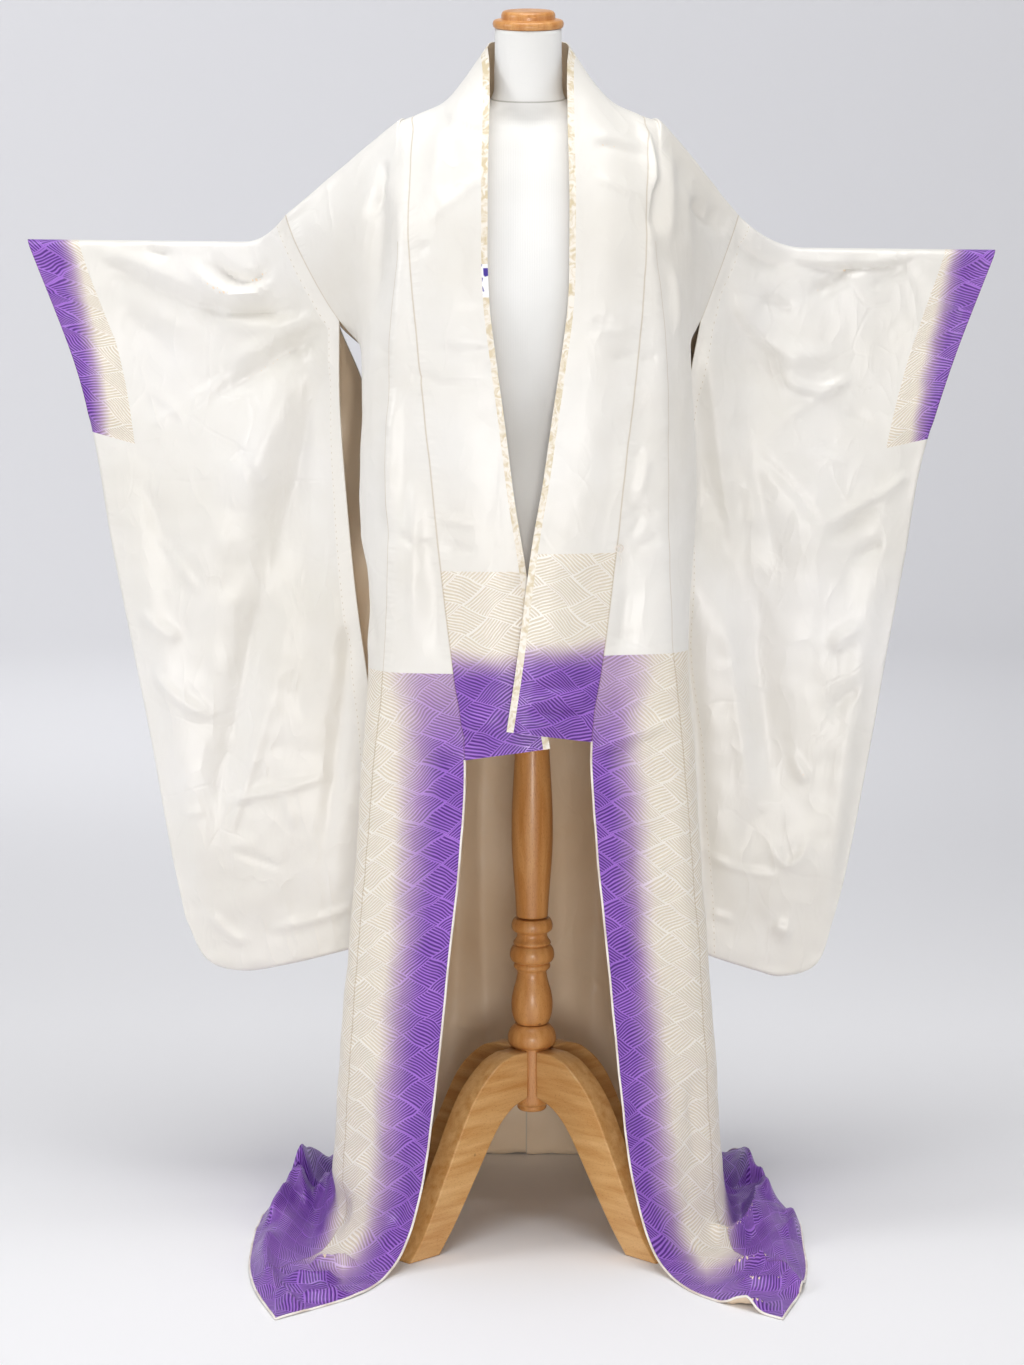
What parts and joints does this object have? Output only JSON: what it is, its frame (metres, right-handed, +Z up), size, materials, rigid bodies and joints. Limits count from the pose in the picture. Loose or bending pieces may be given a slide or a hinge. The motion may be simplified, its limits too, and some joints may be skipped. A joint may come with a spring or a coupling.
{
  "type": "furisode on dress form",
  "caption": "Lined long-sleeved kimono shown lining outward, hung open with both sleeves held out, on a limbless dress form with a turned wooden stand.",
  "frame": {"origin": "on the floor under the middle of the part's box", "axes": "+Z up; the form faces -Y; the wearer's left is +X"},
  "size_m": [1.299, 0.8206, 1.6264],
  "materials": {
    "plain_silk": "satin",
    "bokashi_damask": "satin",
    "face_cloth": "satin",
    "jersey": "matt",
    "beech": "satin lacquer"
  },
  "bodies": {
    "root": {"front_lining_right": "plain_silk", "back_lining_right": "plain_silk", "okumi_lining_right": "plain_silk", "front_hakkake_right": "bokashi_damask", "back_hakkake_right": "bokashi_damask", "okumi_hakkake_right": "bokashi_damask", "collar_lining_right": "plain_silk", "collar_end_right": "bokashi_damask", "collar_face_right": "face_cloth", "sleeve_front_right": "plain_silk", "cuff_facing_front_right": "bokashi_damask", "sleeve_back_right": "plain_silk", "cuff_facing_back_right": "bokashi_damask", "front_lining_left": "plain_silk", "back_lining_left": "plain_silk", "okumi_lining_left": "plain_silk", "front_hakkake_left": "bokashi_damask", "back_hakkake_left": "bokashi_damask", "okumi_hakkake_left": "bokashi_damask", "collar_lining_left": "plain_silk", "collar_end_left": "bokashi_damask", "collar_face_left": "face_cloth", "sleeve_front_left": "plain_silk", "cuff_facing_front_left": "bokashi_damask", "sleeve_back_left": "plain_silk", "cuff_facing_back_left": "bokashi_damask", "collar_lining_back": "plain_silk", "form_torso": "jersey", "neck_cap": "beech", "pole_upper": "beech", "pole_lower": "beech", "hub": "beech", "sleeve_rod": "beech", "leg_1": "beech", "leg_2": "beech", "leg_3": "beech", "leg_4": "beech"}
  },
  "joints": []
}
